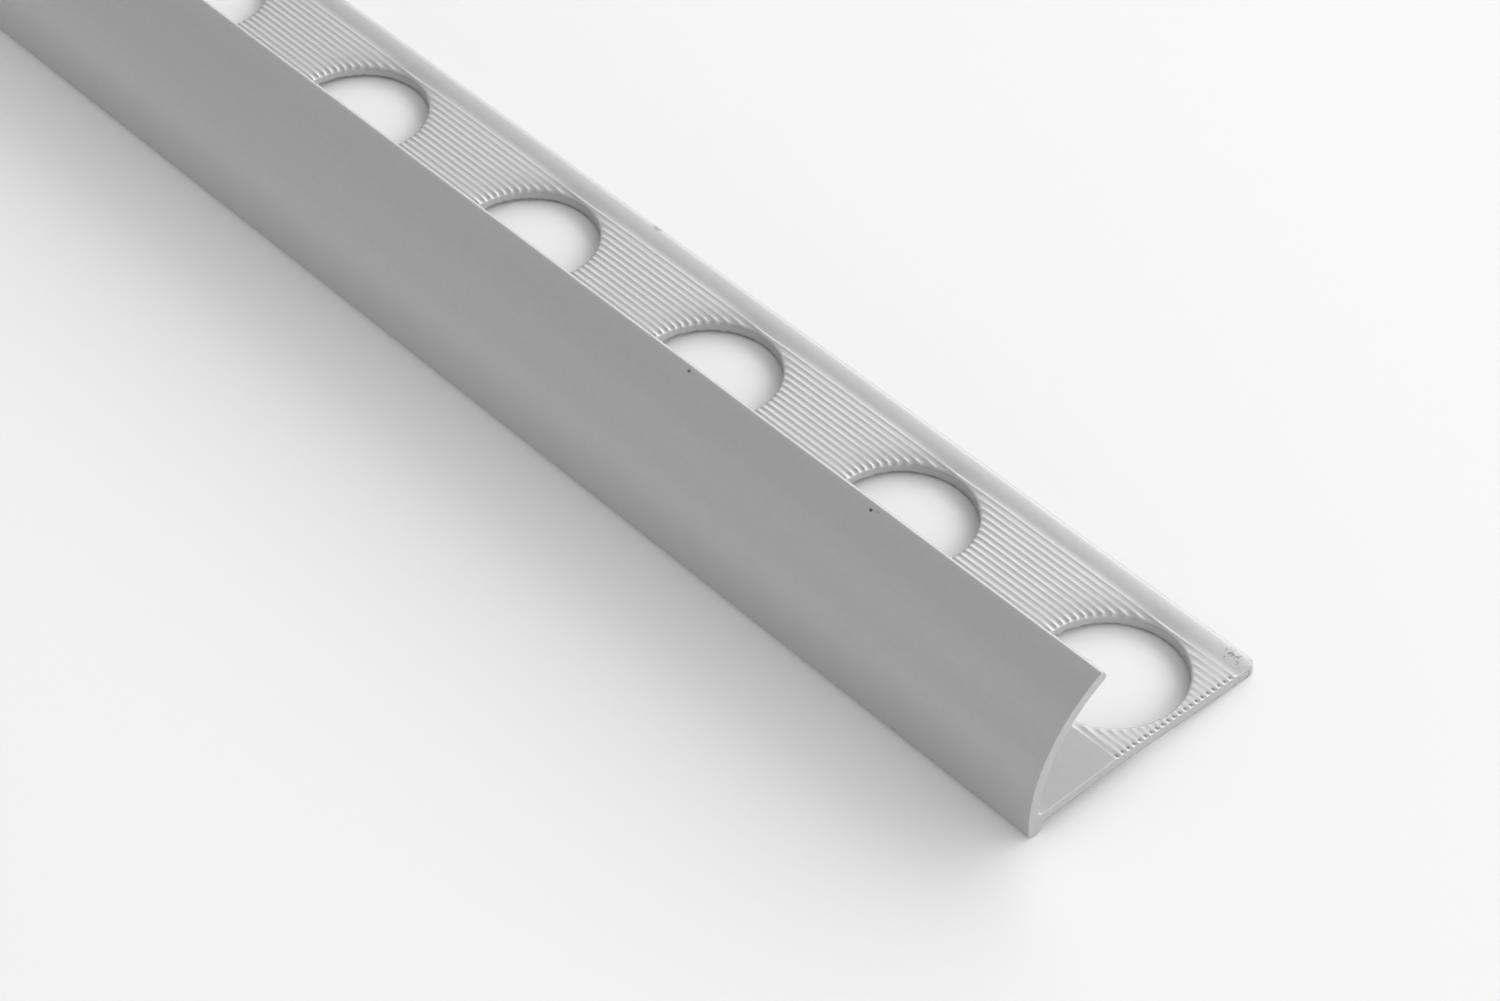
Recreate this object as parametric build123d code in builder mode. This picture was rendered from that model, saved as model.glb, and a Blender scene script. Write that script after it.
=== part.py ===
from build123d import *
from math import asin, atan2, cos, degrees, floor, sin, tan
import os

# Driving dimensions, in millimetres

# Stock
length = 1000.0
width = 24.0
height = 12.5

# Rounded face, which is left showing at the tile edge
# Its tip is rounded about a line this far behind the foot of the face
tip_stand_back = 7.4
face_centre_height = 1.0
face_wall = 0.95
tip_round = 0.3
root_fillet = 0.35

# Nose, the bead under the face that stands on the floor
nose_width = 1.35

# Anchoring leg, level at first and then sloping down to its back edge
leg_thickness = 1.0
leg_rise = 0.9
level_width = 9.3
back_edge_round = 0.3
back_corner_radius = 0.8

# Adhesive holes, punched square through the sloping stretch of the leg
hole_diameter = 12.0
hole_pitch = 22.8
hole_line = 15.2
first_hole_from_end = 6.7
smallest_end_web = 0.6

# Heights and places worked out from the sizes above
# Distances across the profile start at the face, and the origin is mid-width
face_y = -width / 2
back_y = width / 2

# The face is one circle that starts upright and carries the tip's rounding inside it
# The top of that rounding is the height of the stock
tip_rise = height - tip_round - face_centre_height
face_radius = (tip_stand_back**2 + tip_rise**2 - tip_round**2) / (2 * (tip_stand_back - tip_round))
face_centre = (face_y + face_radius, face_centre_height)
inner_radius = face_radius - face_wall
tip_reach = face_radius - tip_round
tip_angle = 180 - degrees(asin(tip_rise / tip_reach) + asin(tip_round / tip_reach))

leg_top = leg_rise + leg_thickness
slope = atan2(leg_rise, width - level_width)

# The nose is round below, and the notch behind it curves from there into the leg's underside
nose_radius = nose_width / 2
notch_radius = leg_rise - nose_radius

# The inside of the face meets the top of the leg at this angle of the face's circle
root_angle = 180 - degrees(asin((leg_top - face_centre_height) / inner_radius))

# The leg's top bends a little further back than its underside, so that it keeps its thickness
top_bend_y = face_y + level_width + leg_thickness * tan(slope / 2)
back_top = leg_thickness / cos(slope)

# Holes run from near the +X end at one pitch, for as long as a web is left at the other end
hole_run = length - first_hole_from_end - hole_diameter / 2 - smallest_end_web
hole_count = floor(hole_run / hole_pitch) + 1
hole_line_height = leg_rise * (width - hole_line) / (width - level_width) + back_top
hole_plane = Plane(
    origin=(length / 2 - first_hole_from_end, face_y + hole_line, hole_line_height),
    x_dir=(-1, 0, 0),
    z_dir=(0, sin(slope), cos(slope)),
)

with BuildPart() as trim_profile:
    # Profile, drawn once and run to the full length
    with BuildSketch(Plane.YZ) as profile:
        with BuildLine():
            bead = CenterArc((face_y + nose_radius, nose_radius), nose_radius, 180, 180)
            upright = Line(bead @ 0, (face_y, face_centre_height))
            face = CenterArc(face_centre, face_radius, 180, tip_angle - 180)
            inside = CenterArc(face_centre, inner_radius, root_angle, tip_angle - root_angle)
            tip = Line(face @ 1, inside @ 1)
            notch = CenterArc((face_y + nose_width + notch_radius, nose_radius), notch_radius, 90, 90)
            leg = Polyline(
                inside @ 0,
                (top_bend_y, leg_top),
                (back_y, back_top),
                (back_y, 0),
                (face_y + level_width, leg_rise),
                notch @ 0,
            )
        make_face()
        fillet(profile.vertices().sort_by_distance(tip @ 0.5)[:2], tip_round)
        fillet(profile.vertices().sort_by_distance(inside @ 0)[0], root_fillet)
        fillet(profile.vertices().group_by(Axis.X)[-1], back_edge_round)
    extrude(amount=length / 2, both=True)

    # Corners of the leg rounded off where the stock is cut to length
    with BuildSketch() as plan:
        Rectangle(length, width)
        fillet(plan.vertices().group_by(Axis.Y)[-1], back_corner_radius)
    extrude(amount=height, mode=Mode.INTERSECT)

    # Adhesive holes, cut from the leg's top to below its underside
    with BuildSketch(hole_plane):
        with Locations(*[(i * hole_pitch, 0) for i in range(hole_count)]):
            Circle(hole_diameter / 2)
    extrude(amount=-leg_top, mode=Mode.SUBTRACT)

trim_profile.part.label = "trim_profile"

os.makedirs("parts", exist_ok=True)
export_step(trim_profile.part, "parts/trim_profile.step")
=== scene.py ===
from math import asin, atan2, cos, degrees, floor, pi, radians, sin, sqrt, tan

import bmesh
import bpy
from mathutils import Matrix, Vector


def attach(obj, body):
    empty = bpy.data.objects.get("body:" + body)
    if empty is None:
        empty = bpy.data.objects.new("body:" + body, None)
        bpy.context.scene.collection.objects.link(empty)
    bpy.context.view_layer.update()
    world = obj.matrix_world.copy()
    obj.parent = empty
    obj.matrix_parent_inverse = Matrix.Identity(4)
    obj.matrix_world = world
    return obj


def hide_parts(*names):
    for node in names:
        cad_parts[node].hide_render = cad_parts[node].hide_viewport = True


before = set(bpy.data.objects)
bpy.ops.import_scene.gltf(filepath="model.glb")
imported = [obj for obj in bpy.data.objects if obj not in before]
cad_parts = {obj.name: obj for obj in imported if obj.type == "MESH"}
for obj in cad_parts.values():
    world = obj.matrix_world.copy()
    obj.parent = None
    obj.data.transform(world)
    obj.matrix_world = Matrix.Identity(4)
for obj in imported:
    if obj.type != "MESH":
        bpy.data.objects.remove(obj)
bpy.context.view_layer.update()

# Sizes, in millimetres as in the CAD source
LENGTH, WIDTH, HEIGHT = 1000.0, 24.0, 12.5
TIP_STAND_BACK, FACE_CENTRE_HEIGHT, FACE_WALL = 7.4, 1.0, 0.95
TIP_ROUND, ROOT_FILLET, NOSE_WIDTH = 0.3, 0.35, 1.35
LEG_THICKNESS, LEG_RISE, LEVEL_WIDTH = 1.0, 0.9, 9.3
BACK_ROUND, BACK_CORNER = 0.3, 0.8
HOLE_RADIUS, HOLE_PITCH, HOLE_LINE, FIRST_HOLE, HOLES = 6.0, 22.8, 15.2, 6.7, 44

# Relief of the leg's top: narrow ridges with wider valleys between them
RIDGE_PITCH, RIDGE_COUNT, FIRST_RIDGE = 0.6, 21, 9.54
RIDGE_HEIGHT, RIDGE_HALF_WIDTH = 0.025, 0.2

# The plain band behind the last valley rises to a crown and rolls over towards the back edge
BAND_START, BAND_CROWN, BAND_RISE, BAND_TILT = 22.0, 23.3, 0.05, radians(5)
BAND_LINES = (22.2, 22.4, 22.65, 22.9, 23.05)

# Ridges are pressed flatter near the cut ends and near the holes, and stand out at their own ends
PRESSED, PRESSED_BY_RIM, PRESSED_BY_CUT = 0.24, 3.8, 6.0
RAISED, RAISED_BY_RIM, RAISED_BY_CUT, LEAST_RAISED = 3.6, 0.5, 0.2, 0.4

# Near a hole they are flatter on its -X side only, and on both sides in the strip behind it
SIDE_BLEND, STRIP_START, STRIP_BLEND = 3.0, 5.0, 1.5

# Softened and drawn-in rim of each hole, drawn in least on its +X side
RIM_BEVEL, RIM_DIP, DIP_REACH, RIM_STEPS = 0.3, 0.1, 1.5, 3
LEAST_ROLL, ROLL_CHANGE = 0.2, 0.7

# Uneven lower edge of the holes: each wave's height, count round a hole and shift from hole to hole
RAGGED_WAVES = ((0.03, 7, 1.3), (0.02, 17, 2.1), (0.015, 31, 0.7))

# Break of the edge all round a cut end
END_BEVEL = 0.02

# Distances of the stations where the relief changes, from a hole's rim towards -X and +X and from a cut end
BEFORE_RIM, AFTER_RIM, LEAST_STEP = (0.25, 0.6, 1.6, 3.8), (2.0, 0.6), 0.8
FROM_CUT = (0.08, 0.2, 1.2, 2.6, 4.5, 7.0)

# Lines close to a hole's outermost ones, in degrees round its rim, and the gaps kept beside other lines
RIM_TURNS, ROOT_GAP, VALLEY_GAP, LEAST_GAP = (5, 10, 15), 0.05, 0.06, 0.02

# Steps in each curve of the section
FACE_STEPS, INSIDE_STEPS, ROUND_STEPS, BACK_STEPS = 56, 48, 8, 6
CORNER_STEPS, NOTCH_STEPS, NOSE_STEPS = 4, 5, 20

# Places closer than the first are one, and vertices closer than the second, in metres, are merged
SAME_PLACE, MERGE_DISTANCE = 1e-9, 1e-8

# Edges that turn by more than this stay sharp
SHARP_ANGLE = radians(40)


def arc(cy, cz, r, start, end, steps):
    """Points of an arc, both ends included; angles in degrees."""
    angles = [radians(start + (end - start) * i / steps) for i in range(steps + 1)]
    return [(cy + r * cos(a), cz + r * sin(a)) for a in angles]


def smooth(t):
    """Soft step from 0 to 1."""
    t = min(1.0, max(0.0, t))
    return t * t * (3 - 2 * t)


# Face, drawn from its foot over the tip and back down inside to the root
tip_rise = HEIGHT - TIP_ROUND - FACE_CENTRE_HEIGHT
face_radius = (TIP_STAND_BACK**2 + tip_rise**2 - TIP_ROUND**2) / (2 * (TIP_STAND_BACK - TIP_ROUND))
inner_radius = face_radius - FACE_WALL
centre = (face_radius, FACE_CENTRE_HEIGHT)
tip_reach = face_radius - TIP_ROUND
tip_angle = 180 - degrees(asin(tip_rise / tip_reach) + asin(TIP_ROUND / tip_reach))
outer_turn = tip_angle + degrees(asin(TIP_ROUND / tip_reach))
inner_turn = tip_angle + degrees(asin(TIP_ROUND / (inner_radius + TIP_ROUND)))
leg_top = LEG_RISE + LEG_THICKNESS
slope = atan2(LEG_RISE, WIDTH - LEVEL_WIDTH)
nose_radius = NOSE_WIDTH / 2
notch_radius = LEG_RISE - nose_radius


def on_circle(r, angle):
    """Point on a circle about the face's centre; angle in degrees."""
    return centre[0] + r * cos(radians(angle)), centre[1] + r * sin(radians(angle))


face = arc(*centre, face_radius, 180, outer_turn, FACE_STEPS)
tip_out = arc(*on_circle(tip_reach, outer_turn), TIP_ROUND, outer_turn, tip_angle - 90, ROUND_STEPS)
tip_in_centre = on_circle(inner_radius + TIP_ROUND, inner_turn)
tip_in = arc(*tip_in_centre, TIP_ROUND, tip_angle - 90, inner_turn - 180, ROUND_STEPS)
root_rise = leg_top + ROOT_FILLET - FACE_CENTRE_HEIGHT
root_turn = 180 - degrees(asin(root_rise / (inner_radius - ROOT_FILLET)))
inside = arc(*centre, inner_radius, inner_turn, root_turn, INSIDE_STEPS)
root = arc(*on_circle(inner_radius - ROOT_FILLET, root_turn), ROOT_FILLET, root_turn, 270, ROUND_STEPS)
front = face[:-1] + tip_out + tip_in + inside[1:-1] + root

# Places on the leg are given by w, along its top from its bend, and d, down from that top
bend_y = LEVEL_WIDTH + LEG_THICKNESS * tan(slope / 2)


def on_leg(w, d):
    """Point of the sloping stretch, or of the level one's top where w is below zero."""
    if w < 0 and d < LEG_THICKNESS / 2:
        return bend_y + w, leg_top - d
    return bend_y + w * cos(slope) - d * sin(slope), leg_top - w * sin(slope) - d * cos(slope)


def along(y):
    """Place along the sloping top at this distance from the foot of the face."""
    return (y - bend_y) / cos(slope)


half = LENGTH / 2
hole_w = along(HOLE_LINE)
rim_radius = HOLE_RADIUS + RIM_BEVEL
valley_start = along(FIRST_RIDGE - RIDGE_PITCH)
ridges = [along(FIRST_RIDGE + RIDGE_PITCH * i) for i in range(RIDGE_COUNT)]
last_valley = ridges[-1] + RIDGE_HALF_WIDTH
band_start, band_crown = along(BAND_START), along(BAND_CROWN)
band_end = along(WIDTH - BACK_ROUND + BACK_ROUND * sin(slope + BAND_TILT))
band_roll = tan(BAND_TILT) / (2 * (band_end - band_crown))


def ridge(near):
    """Height of a ridge, as a share, at a distance from its crest."""
    if near >= RIDGE_HALF_WIDTH:
        return 0.0
    return cos(pi * near / (2 * RIDGE_HALF_WIDTH)) ** 2


def nearest_holes(x):
    """How far the holes next to this place lie towards +X from it; negative for the one towards -X."""
    in_row = (half - FIRST_HOLE - x) / HOLE_PITCH
    return [(in_row - i) * HOLE_PITCH for i in (floor(in_row), floor(in_row) + 1) if 0 <= i < HOLES]


def rolled(towards_hole):
    """Share of the punch's draw-in; the direction to the hole runs from -1 to 1 along X."""
    return LEAST_ROLL + (1 - LEAST_ROLL) * smooth(0.5 + ROLL_CHANGE * towards_hole)


def pressing(x, w):
    """How strongly the ridges stand out at this place."""
    share = 1.0
    for away in nearest_holes(x):
        rim = sqrt(away**2 + (w - hole_w) ** 2) - rim_radius
        side = smooth(away / SIDE_BLEND + 0.5)
        strip = smooth((w - hole_w - STRIP_START) / STRIP_BLEND)
        flattened = max(side, strip) * (1 - smooth(rim / PRESSED_BY_RIM))
        share *= 1 - (1 - PRESSED) * flattened
        raised = LEAST_RAISED + (1 - LEAST_RAISED) * side
        share += (RAISED - share) * raised * (1 - smooth(rim / RAISED_BY_RIM))
    cut = half - abs(x)
    share *= PRESSED + (1 - PRESSED) * smooth(cut / PRESSED_BY_CUT)
    return share + (RAISED - share) * (1 - smooth((cut - END_BEVEL) / RAISED_BY_CUT))


def top_depth(x, w):
    """How far the top lies below the plain leg."""
    if w <= valley_start:
        depth = 0.0
    elif w < band_start:
        height = max([ridge(abs(w - c)) for c in ridges] + [ridge(w - valley_start)])
        depth = RIDGE_HEIGHT * pressing(x, w) * (1 - height)
    elif w < band_crown:
        rise = sin(pi / 2 * (w - band_start) / (band_crown - band_start))
        depth = RIDGE_HEIGHT * pressing(x, band_start) * (1 - rise) - BAND_RISE * rise
    else:
        depth = band_roll * (w - band_crown) ** 2 - BAND_RISE
    dips = [0.0]
    for away in nearest_holes(x):
        reach = sqrt(away**2 + (w - hole_w) ** 2)
        dips.append(rolled(away / reach) * (1 - smooth((reach - rim_radius) / DIP_REACH)))
    return depth + RIM_DIP * max(dips)


# Lines that run along the profile: those over the holes stop at each hole
steps = [RIDGE_HALF_WIDTH * k / 2 for k in range(-2, 3)]
level_start = along(front[-1][0]) + ROOT_GAP
free = [level_start, valley_start - VALLEY_GAP]
free += [valley_start, valley_start + RIDGE_HALF_WIDTH / 2, valley_start + RIDGE_HALF_WIDTH]
free += [crest + step for crest in ridges for step in steps]
free += [last_valley + VALLEY_GAP, band_start] + [along(y) for y in BAND_LINES]
rim_from, rim_to = hole_w - rim_radius, hole_w + rim_radius
turns = [rim_radius * cos(radians(a)) for a in RIM_TURNS]
fixed = [rim_from, rim_to] + [hole_w - t for t in turns] + [hole_w + t for t in turns]
lines = sorted([w for w in free if min(abs(w - f) for f in fixed) > LEAST_GAP] + fixed)
ahead = [w for w in lines if w < rim_from]
over_hole = [w for w in lines if rim_from <= w <= rim_to]
behind = [w for w in lines if w > rim_to]


def flank(w):
    """The same line at the hole's own radius, under its softened rim."""
    return hole_w + (w - hole_w) * HOLE_RADIUS / rim_radius


# Lines across the rounded-off back corners, and the rounded back edge behind them
corner_width = BACK_CORNER - BACK_ROUND
corner_ys = [WIDTH - BACK_CORNER + corner_width * k / CORNER_STEPS for k in range(CORNER_STEPS)]
corner_ws = [along(y) for y in corner_ys]
turned = slope + BAND_TILT
band_edge = on_leg(band_end, band_roll * (band_end - band_crown) ** 2 - BAND_RISE)
back_top = band_edge[1] - BACK_ROUND * cos(turned)
back_low = LEG_RISE * BACK_ROUND / (WIDTH - LEVEL_WIDTH) + BACK_ROUND / cos(slope)
back_top_arc = arc(WIDTH - BACK_ROUND, back_top, BACK_ROUND, 90 - degrees(turned), 0, BACK_STEPS)
back_low_arc = arc(WIDTH - BACK_ROUND, back_low, BACK_ROUND, 0, -90 - degrees(slope), BACK_STEPS)


def low_point(y):
    """Point of the leg's underside."""
    return y, LEG_RISE * min(1.0, (WIDTH - y) / (WIDTH - LEVEL_WIDTH))


# Section, as a ring of lines: each has its place and kind, and those of the leg's top or under holes their w
section = []


def add(points, kind="plain", ws=None):
    """Adds lines to the section, in their order round it."""
    for k, point in enumerate(points):
        section.append((point, kind, None if ws is None else ws[k]))


under_ws = [flank(w) for w in reversed(over_hole)]
add(front)
add([on_leg(w, 0) for w in ahead], "top", ahead)
first_over = len(section)
add([on_leg(w, 0) for w in over_hole], "over", over_hole)
add([on_leg(w, 0) for w in behind], "top", behind)
corner_from = len(section)
add([on_leg(w, 0) for w in corner_ws], "top", corner_ws)
add(back_top_arc)
corner_turn = len(section)
add(back_low_arc)
add([low_point(y) for y in reversed(corner_ys)])
corner_to = len(section) - 1
first_under = len(section)
add([on_leg(w, LEG_THICKNESS) for w in under_ws], "under", under_ws)
add(arc(NOSE_WIDTH + notch_radius, nose_radius, notch_radius, 90, 180, NOTCH_STEPS))
add(arc(nose_radius, nose_radius, nose_radius, 0, -180, NOSE_STEPS)[1:])

hole_x = [half - FIRST_HOLE - HOLE_PITCH * i for i in range(HOLES)]
vertices, faces = [], []


def vertex(x, y, z):
    """Adds a vertex, in metres and from mid-width as the shared frame has it, and gives its number."""
    vertices.append((x / 1000, (y - WIDTH / 2) / 1000, z / 1000))
    return len(vertices) - 1


def end_x(y):
    """Where the stock ends at this distance from the face: its back corners are rounded off."""
    into = y - (WIDTH - BACK_CORNER)
    if into <= 0:
        return half
    return half - BACK_CORNER + sqrt(max(0.0, BACK_CORNER**2 - into**2))


def chord(w, r):
    """Half the length that a circle of this radius about a hole takes out of a line."""
    return sqrt(max(0.0, r * r - (w - hole_w) ** 2))


def opening(w, r):
    """The same, but nothing on the two lines that only touch the circle."""
    return chord(w, r) if abs(abs(w - hole_w) - r) > SAME_PLACE else 0.0


def beside_hole(x, w, distances, sign):
    """Stations beside one hole, on circles about it, kept apart behind the hole."""
    stations = []
    for k, distance in enumerate(distances):
        stations.append(x + sign * max(chord(w, rim_radius + distance), LEAST_STEP * (k + 1)))
    return stations


def top_stations(w, reach):
    """One list of x for each stretch between holes, from the +X end on."""
    c = opening(w, rim_radius)
    first = reach - hole_x[0] - c
    near = [reach - min(d, first * (k + 1) / (len(FROM_CUT) + 1)) for k, d in enumerate(FROM_CUT)]
    stretches = [[reach] + near + [hole_x[0] + c]]
    for a, b in zip(hole_x, hole_x[1:]):
        before = beside_hole(a, w, BEFORE_RIM, -1)
        after = beside_hole(b, w, AFTER_RIM, 1)
        after.sort(reverse=True)
        stretches.append([a - c] + before + after + [b + c])
    before = beside_hole(hole_x[-1], w, BEFORE_RIM, -1)
    far = [-reach + FROM_CUT[1], -reach + FROM_CUT[0], -reach]
    stretches.append([hole_x[-1] - c] + before + far)
    return stretches


def ragged(i, angle):
    """The punch leaves the lower edge of a hole a little uneven."""
    return sum(size * sin(number * angle + shift * i) for size, number, shift in RAGGED_WAVES)


# Each line's vertices, in one list for each stretch between holes
spans = []
for (y, z), kind, w in section:
    reach = end_x(y) - END_BEVEL
    if kind in ("top", "over"):
        stretches = []
        for xs in top_stations(w, reach):
            stretches.append([vertex(x, *on_leg(w, top_depth(x, w))) for x in xs])
        for a, b in zip(stretches, stretches[1:]):
            if abs(vertices[a[-1]][0] - vertices[b[0]][0]) < SAME_PLACE:
                b[0] = a[-1]
        spans.append(stretches)
        continue
    c = opening(w, HOLE_RADIUS) if kind == "under" else 0.0
    if c:
        ends = [reach]
        for i, x in enumerate(hole_x):
            for side in (1, -1):
                angle = atan2(side * c, w - hole_w)
                ends.append(x + side * c * (1 + ragged(i, angle) / HOLE_RADIUS))
        ids = [vertex(x, y, z) for x in ends + [-reach]]
        spans.append([ids[2 * i:2 * i + 2] for i in range(HOLES + 1)])
    else:
        ids = [vertex(x, y, z) for x in [reach] + hole_x + [-reach]]
        spans.append([ids[i:i + 2] for i in range(HOLES + 1)])

# Faces between neighbouring lines
count = len(section)
for i in range(count):
    for a, b in zip(spans[i], spans[(i + 1) % count]):
        if len(a) == len(b):
            faces += [(a[k], a[k + 1], b[k + 1], b[k]) for k in range(len(a) - 1)]
        else:
            faces.append(tuple(a + b[::-1]))

# Softened rim and straight wall of each hole
last = len(over_hole) - 1
around = [(k, True) for k in range(last + 1)] + [(k, False) for k in range(last - 1, 0, -1)]
for i, x0 in enumerate(hole_x):
    rings = [[] for _ in range(RIM_STEPS + 2)]
    for k, near in around:
        span, end, side = (i, -1, 1) if near else (i + 1, 0, -1)
        rings[0].append(spans[first_over + k][span][end])
        w = over_hole[k]
        angle = atan2(side * chord(w, rim_radius), w - hole_w)
        rim_depth = top_depth(x0 + rim_radius * sin(angle), w)
        for step in range(1, RIM_STEPS + 1):
            turn = pi / 2 * step / RIM_STEPS
            r = HOLE_RADIUS + RIM_BEVEL * (1 - sin(turn))
            d = rim_depth + RIM_BEVEL * rolled(-sin(angle)) * (1 - cos(turn))
            rings[step].append(vertex(x0 + r * sin(angle), *on_leg(hole_w + r * cos(angle), d)))
        rings[-1].append(spans[first_under + last - k][span][end])
    n = len(around)
    for upper, lower in zip(rings, rings[1:]):
        faces += [(upper[j], upper[(j + 1) % n], lower[(j + 1) % n], lower[j]) for j in range(n)]


def inset(index, column):
    """The section's point at this end, moved into the metal by the break of the cut edge."""
    ring = [spans[(index + d) % count][column][column] for d in (-1, 0, 1)]
    before, here, after = (Vector(vertices[v][1:]) for v in ring)
    tangent = (after - before).normalized()
    return here.x * 1000 + WIDTH / 2 + tangent.y * END_BEVEL, here.y * 1000 - tangent.x * END_BEVEL


# Broken edge and flat of each cut end
for sign, column in ((1, 0), (-1, -1)):
    ring = [spans[i][column][column] for i in range(count)]
    cap = [vertex(sign * end_x(section[i][0][0]), *inset(i, column)) for i in range(count)]
    for i in range(count):
        m = (i + 1) % count
        faces.append((ring[i], ring[m], cap[m], cap[i]))
    faces.append(tuple(cap[:corner_from + 1] + cap[corner_to:]))
    for k in range(corner_turn - corner_from):
        a, b = corner_from + k, corner_to - k
        if a + 1 < corner_turn:
            faces.append((cap[a], cap[a + 1], cap[b - 1], cap[b]))
        else:
            faces.append((cap[a], cap[a + 1], cap[b]))

mesh = bpy.data.meshes.new("tile_edging_profile")
mesh.from_pydata(vertices, [], faces)
mesh.validate()
bm = bmesh.new()
bm.from_mesh(mesh)
bmesh.ops.remove_doubles(bm, verts=bm.verts, dist=MERGE_DISTANCE)
bmesh.ops.recalc_face_normals(bm, faces=bm.faces)
bm.to_mesh(mesh)
bm.free()
for polygon in mesh.polygons:
    polygon.use_smooth = True
mesh.set_sharp_from_angle(angle=SHARP_ANGLE)
profile = bpy.data.objects.new("tile_edging_profile", mesh)
bpy.context.scene.collection.objects.link(profile)

# Material: satin aluminium with faint die lines, grain and cloudiness, and the few dark marks of the photo
# Among the dark marks, the ends of the valleys by the cut and the lower edges carry painted shade
METALLIC, SMOOTH_ROUGHNESS, DULL_ROUGHNESS = 0.4, 0.36, 0.42
DARK_TONE, LIGHT_TONE, MARK_AND_SHADE_SHARE = 0.435, 0.475, 0.08
CLOUD_SHARE, FINE_SHARE = 0.6, 0.4
BUMP_STRENGTH, BUMP_DISTANCE, BUMP_SHARE = 0.15, 0.00002, 0.5

# Ranges of the noises that crumbs, dull patches, the painted shade on the lower edges and tone are taken
# from
CRUMB_NOISE, DULL_NOISE, EDGE_SHADE_NOISE, TONE_NOISE = (0.52, 0.6), (0.35, 0.65), (0.4, 0.55), (0.3, 0.7)

# Marks: middle, reach along the length and across it, strength; they fade between two shares of the reach
MARK_CORE, MARK_EDGE = 0.6, 1.3
PITS_ON_TIP = ((476.25, -5.15, 12.26, 0.17, 0.12, 0.95), (476.8, -4.95, 12.3, 0.16, 0.1, 0.35),
               (455.51, -5.01, 12.34, 0.16, 0.13, 0.8))
CHIP_ON_BACK_EDGE = (431.48, 11.75, 1.0, 0.5, 0.25, 0.45)
BURR_AT_CORNER = ((498.2, 11.25, 1.05, 0.9, 0.45, 0.6), (498.0, 10.45, 1.1, 0.25, 0.2, 0.5),
                  (499.0, 10.75, 1.1, 0.3, 0.25, 0.4), (499.6, 11.8, 0.9, 0.4, 0.25, 0.6),
                  (499.9, 11.2, 0.2, 0.3, 0.7, 0.7), (499.9, 9.9, 0.35, 0.2, 0.4, 0.6))

# Painted shade at the ends of the valleys: strength, width from a valley's middle, and where it fades in and
# out by the cut
VALLEY_SHADE_STRENGTH, VALLEY_SHADE_WIDTH, VALLEY_SHADE_START, VALLEY_SHADE_END = 0.65, (0.05, 0.16), (0.42, 0.3), (0.12, 0.06)

# They lie on faces that look up, and between these places before the first ridge and behind the last
FACING_UP, BEFORE_ROWS, ROWS_END = (0.2, 0.4), (0.6, 0.5), (21.5, 21.6)

# Painted shade along the lower edges: its height, its reach at a cut end and at a hole's wall, and its
# strength
EDGE_SHADE_HEIGHT, EDGE_SHADE_AT_CUT, EDGE_SHADE_AT_WALL, NOSE_FADE = (0.05, 0.13), (0.04, 0.02), (0.1, 0.15), 0.5
LEAST_EDGE_SHADE, MOST_EDGE_SHADE = 0.1, 0.6

material = bpy.data.materials.new("satin_aluminium")
material.use_nodes = True
nodes, links = material.node_tree.nodes, material.node_tree.links
shader = nodes["Principled BSDF"]
shader.inputs["Metallic"].default_value = METALLIC


def node(kind, **settings):
    """A new node of the tree being made."""
    made = nodes.new(kind)
    for name, value in settings.items():
        setattr(made, name, value)
    return made


def feed(made, values):
    """Connect or set the node's first sockets and give back its first output."""
    for socket, value in zip(made.inputs, values):
        if isinstance(value, bpy.types.NodeSocket):
            links.new(value, socket)
        else:
            socket.default_value = value
    return made.outputs[0]


def sum_of(a, b):
    return feed(node("ShaderNodeMath", operation="ADD"), (a, b))


def product(a, b):
    return feed(node("ShaderNodeMath", operation="MULTIPLY"), (a, b))


def larger(a, b):
    return feed(node("ShaderNodeMath", operation="MAXIMUM"), (a, b))


def folded(value, reach):
    """The value, running up from 0 to the reach and back again, over and over."""
    return feed(node("ShaderNodeMath", operation="PINGPONG"), (value, reach))


def ranged(value, low, high, to_low, to_high):
    """The value's range from low to high, mapped and clamped to another range."""
    return feed(node("ShaderNodeMapRange"), (value, low, high, to_low, to_high))


def rising(value, low, high, most=1.0):
    """Nothing up to low, and the most from high on."""
    return ranged(value, low, high, 0.0, most)


def falling(value, low, high, most=1.0):
    """The most up to low, and nothing from high on."""
    return ranged(value, low, high, most, 0.0)


def split(vector):
    """The three parts of a vector."""
    parts = node("ShaderNodeSeparateXYZ")
    links.new(vector, parts.inputs[0])
    return tuple(parts.outputs)


def stretched_noise(scale, stretch, detail):
    """Noise drawn out along the length, as drawing and handling leave on extruded stock."""
    mapping = node("ShaderNodeMapping")
    mapping.inputs["Scale"].default_value = (1 / stretch, 1.0, 1.0)
    links.new(place, mapping.inputs["Vector"])
    made = node("ShaderNodeTexNoise")
    made.inputs["Scale"].default_value = scale
    made.inputs["Detail"].default_value = detail
    links.new(mapping.outputs[0], made.inputs["Vector"])
    return made.outputs["Fac"]


def mark(x, y, z, reach_x, reach_y, strength):
    """How dark a small mark is: its place and its reach are in millimetres."""
    middle = (x / 1000, y / 1000, z / 1000)
    offset = feed(node("ShaderNodeVectorMath", operation="SUBTRACT"), (place, middle))
    scale = (1000 / reach_x, 1000 / reach_y, 1000 / reach_y)
    share = feed(node("ShaderNodeVectorMath", operation="MULTIPLY"), (offset, scale))
    length = node("ShaderNodeVectorMath", operation="LENGTH")
    links.new(share, length.inputs[0])
    return falling(length.outputs["Value"], MARK_CORE, MARK_EDGE, strength)


place = node("ShaderNodeTexCoord").outputs["Object"]
die_lines = stretched_noise(scale=5000, stretch=400, detail=2)
grain = stretched_noise(scale=2500, stretch=1.5, detail=3)
cloud = stretched_noise(scale=60, stretch=6, detail=2)
crumbs = rising(stretched_noise(scale=5000, stretch=1.0, detail=1), *CRUMB_NOISE)

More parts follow.
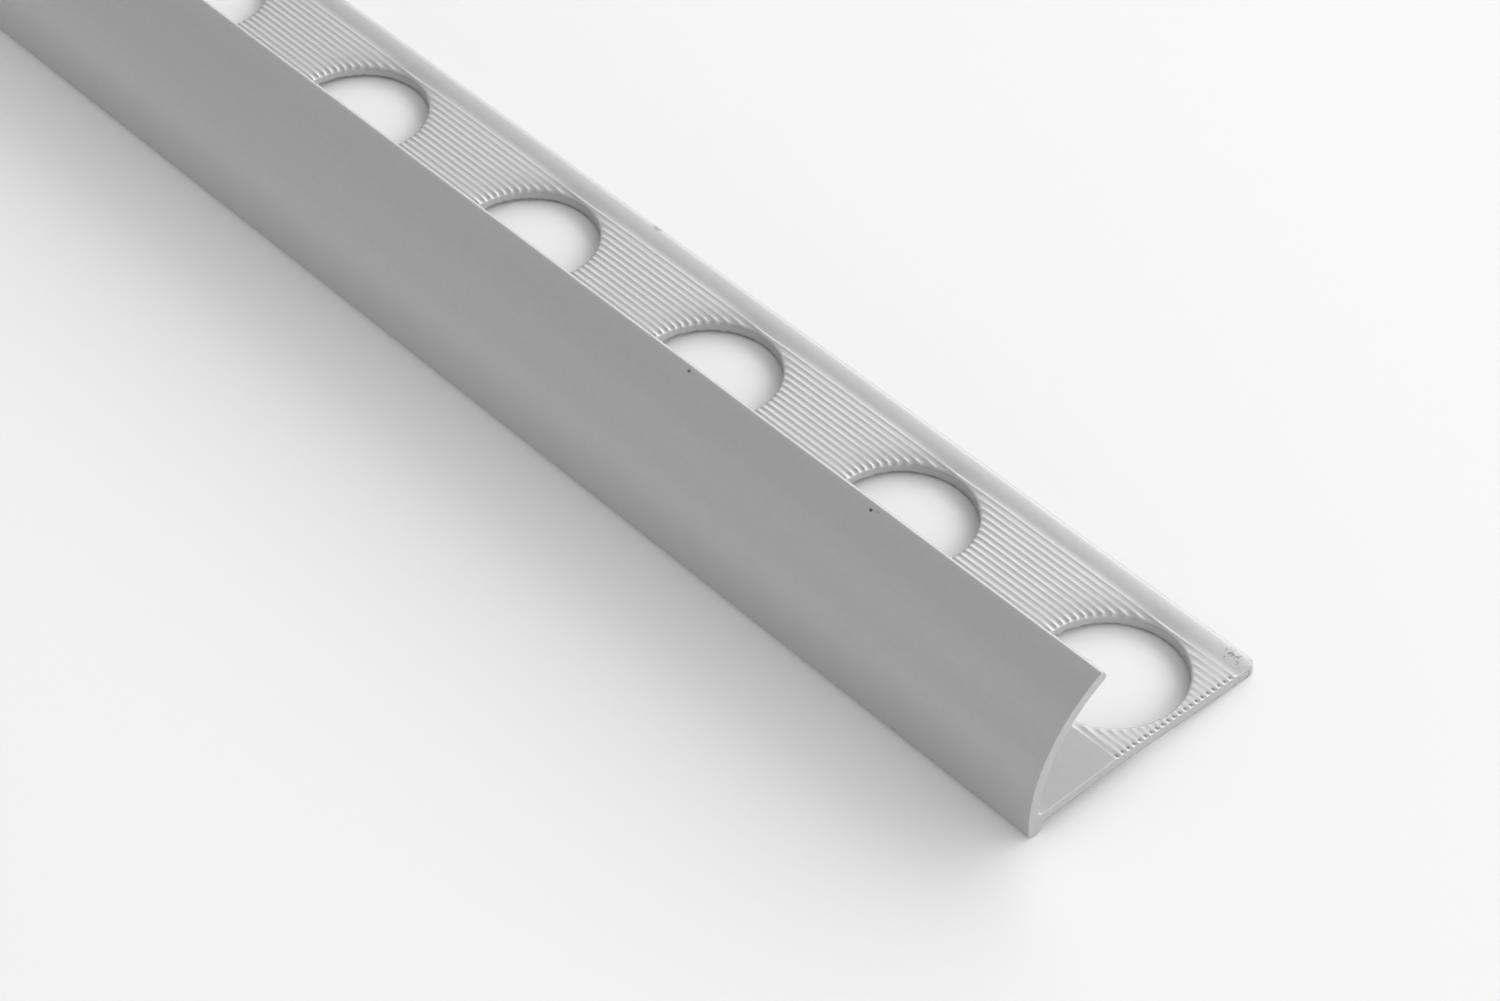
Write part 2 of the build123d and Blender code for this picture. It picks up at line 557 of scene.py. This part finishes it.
dulling = sum_of(product(cloud, CLOUD_SHARE), product(die_lines, FINE_SHARE))
dullness = ranged(dulling, *DULL_NOISE, SMOOTH_ROUGHNESS, DULL_ROUGHNESS)
links.new(dullness, shader.inputs["Roughness"])

# Pits on the tip of the face, a chip on the back edge, and smeared burr at the back corner of the cut end
marks_and_painted_shade = mark(*CHIP_ON_BACK_EDGE)
for pit in PITS_ON_TIP:
    marks_and_painted_shade = larger(marks_and_painted_shade, mark(*pit))
for crumbled in BURR_AT_CORNER:
    marks_and_painted_shade = larger(marks_and_painted_shade, product(mark(*crumbled), crumbs))

# Painted shade in the ends of the valleys at the cut ends, by their place in the row of ridges
x_mm, y_mm, z_mm = (product(part, 1000) for part in split(place))
from_middle = feed(node("ShaderNodeMath", operation="ABSOLUTE"), (x_mm,))
from_foot = sum_of(y_mm, WIDTH / 2)
from_valley = folded(sum_of(from_foot, RIDGE_PITCH / 2 - FIRST_RIDGE), RIDGE_PITCH / 2)
upward = split(node("ShaderNodeNewGeometry").outputs["Normal"])[2]
valley_shade = product(falling(from_valley, *VALLEY_SHADE_WIDTH), rising(upward, *FACING_UP, VALLEY_SHADE_STRENGTH))
near_cut = product(rising(from_middle, half - VALLEY_SHADE_START[0], half - VALLEY_SHADE_START[1]),
                   falling(from_middle, half - VALLEY_SHADE_END[0], half - VALLEY_SHADE_END[1]))
in_rows = product(rising(from_foot, FIRST_RIDGE - BEFORE_ROWS[0], FIRST_RIDGE - BEFORE_ROWS[1]),
                  falling(from_foot, *ROWS_END))
marks_and_painted_shade = larger(marks_and_painted_shade, product(product(valley_shade, near_cut), in_rows))

# Ragged painted shade along the lower edge of each cut end and of each hole's wall
underside = falling(from_foot, LEVEL_WIDTH, WIDTH, LEG_RISE)
above = feed(node("ShaderNodeMath", operation="SUBTRACT"), (z_mm, underside))
behind_nose = rising(from_foot, NOSE_WIDTH, NOSE_WIDTH + NOSE_FADE)
low_edge = product(falling(above, *EDGE_SHADE_HEIGHT), behind_nose)
ragged_edge_shade = ranged(stretched_noise(scale=2200, stretch=1.0, detail=2), *EDGE_SHADE_NOISE, LEAST_EDGE_SHADE, MOST_EDGE_SHADE)
at_cut = rising(from_middle, half - EDGE_SHADE_AT_CUT[0], half - EDGE_SHADE_AT_CUT[1])
along_hole = folded(sum_of(product(x_mm, -1.0), half - FIRST_HOLE + HOLE_PITCH), HOLE_PITCH / 2)
across_hole = sum_of(from_foot, -HOLE_LINE)
reach_squared = sum_of(product(along_hole, along_hole), product(across_hole, across_hole))
near_wall, off_wall = ((HOLE_RADIUS + gap) ** 2 for gap in EDGE_SHADE_AT_WALL)
at_wall = falling(reach_squared, near_wall, off_wall)
marks_and_painted_shade = larger(marks_and_painted_shade, product(product(low_edge, ragged_edge_shade), larger(at_cut, at_wall)))

clouding = sum_of(product(cloud, CLOUD_SHARE), product(grain, FINE_SHARE))
tone = ranged(clouding, *TONE_NOISE, DARK_TONE, LIGHT_TONE)
# The tone is darkened by the real marks and by the painted shade
tone_with_marks_and_shade = product(tone, ranged(marks_and_painted_shade, 0.0, 1.0, 1.0, MARK_AND_SHADE_SHARE))
links.new(feed(node("ShaderNodeCombineColor"), (tone_with_marks_and_shade, tone_with_marks_and_shade, tone_with_marks_and_shade)), shader.inputs["Base Color"])

bump = node("ShaderNodeBump")
bump.inputs["Strength"].default_value = BUMP_STRENGTH
bump.inputs["Distance"].default_value = BUMP_DISTANCE
links.new(sum_of(product(die_lines, BUMP_SHARE), product(grain, BUMP_SHARE)), bump.inputs["Height"])
links.new(bump.outputs[0], shader.inputs["Normal"])
mesh.materials.append(material)

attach(profile, "root")
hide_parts("trim_profile")

# Floor
FLOOR_HALF, FLOOR_TONE, FLOOR_ROUGHNESS = 30.0, 0.81, 0.7
floor_mesh = bpy.data.meshes.new("floor")
floor_corners = [(-FLOOR_HALF, -FLOOR_HALF, 0), (FLOOR_HALF, -FLOOR_HALF, 0),
                 (FLOOR_HALF, FLOOR_HALF, 0), (-FLOOR_HALF, FLOOR_HALF, 0)]
floor_mesh.from_pydata(floor_corners, [], [(0, 1, 2, 3)])
ground = bpy.data.objects.new("floor", floor_mesh)
bpy.context.scene.collection.objects.link(ground)
floor_material = bpy.data.materials.new("pale_floor")
floor_material.use_nodes = True
floor_shader = floor_material.node_tree.nodes["Principled BSDF"]
floor_shader.inputs["Base Color"].default_value = (FLOOR_TONE, FLOOR_TONE, FLOOR_TONE, 1)
floor_shader.inputs["Roughness"].default_value = FLOOR_ROUGHNESS
floor_mesh.materials.append(floor_material)

# Light: even from all round, with a wide low band that is stronger from the back edge's side and the cut end
AMBIENT, BACK_LIGHT, END_LIGHT = 0.53, 2.5, 1.6
BAND_FADE_IN, BAND_FADE_OUT, BACK_FADE, END_FADE = (0.2, 0.32), (0.58, 0.72), (0.46, 0.64), (0.5, 0.7)
world = bpy.data.worlds.new("studio")
bpy.context.scene.world = world
world.use_nodes = True
nodes, links = world.node_tree.nodes, world.node_tree.links
nodes["Background"].inputs["Color"].default_value = (1, 1, 1, 1)
to_end, to_back, to_sky = split(node("ShaderNodeTexCoord").outputs["Generated"])
low_band = product(rising(to_sky, *BAND_FADE_IN), falling(to_sky, *BAND_FADE_OUT))
from_back = rising(to_back, *BACK_FADE, BACK_LIGHT)
from_end = rising(to_end, *END_FADE, END_LIGHT)
light_strength = sum_of(product(low_band, larger(from_back, from_end)), AMBIENT)
links.new(light_strength, nodes["Background"].inputs["Strength"])


def softbox(name, location, target, width, depth, power):
    """A rectangular light that faces its target and isn't seen itself; in metres and watts."""
    light = bpy.data.lights.new(name, "AREA")
    light.shape = "RECTANGLE"
    light.size, light.size_y = width, depth
    light.energy = power
    made = bpy.data.objects.new(name, light)
    bpy.context.scene.collection.objects.link(made)
    made.location = location
    made.rotation_mode = "QUATERNION"
    made.rotation_quaternion = (Vector(target) - Vector(location)).to_track_quat("-Z", "Y")
    made.visible_camera = False


softbox("key", location=(0.6, 0.6, 0.42), target=(0.35, 0, 0), width=2.0, depth=0.5, power=3.8)
softbox("fill", location=(0.4, -1.1, 0.55), target=(0.4, 0, 0), width=2.0, depth=0.6, power=1.2)

# Camera, fitted to the photo's long edges, cut end and nearest holes
CAMERA_PLACE = (0.65035, -0.15818, 0.24959)
VIEW_AZIMUTH, VIEW_ELEVATION, ROLL = radians(140.8973), radians(45.4698), radians(-3.8529)
FOCAL_LENGTH_PX, PHOTO_WIDTH_PX, SENSOR_WIDTH, CLIP_START = 4448.65, 1500, 36.0, 0.01
camera_data = bpy.data.cameras.new("camera")
camera_data.sensor_width = SENSOR_WIDTH
camera_data.lens = FOCAL_LENGTH_PX / PHOTO_WIDTH_PX * SENSOR_WIDTH
camera_data.clip_start = CLIP_START
camera = bpy.data.objects.new("camera", camera_data)
bpy.context.scene.collection.objects.link(camera)
forward = Vector((cos(VIEW_ELEVATION) * cos(VIEW_AZIMUTH), cos(VIEW_ELEVATION) * sin(VIEW_AZIMUTH),
                  -sin(VIEW_ELEVATION)))
level = forward.cross(Vector((0, 0, 1))).normalized()
over = level.cross(forward)
right = level * cos(ROLL) + over * sin(ROLL)
up = over * cos(ROLL) - level * sin(ROLL)
turn = Matrix((right, up, -forward)).transposed().to_4x4()
camera.matrix_world = Matrix.Translation(CAMERA_PLACE) @ turn
bpy.context.scene.camera = camera
bpy.context.scene.view_settings.view_transform = "Standard"
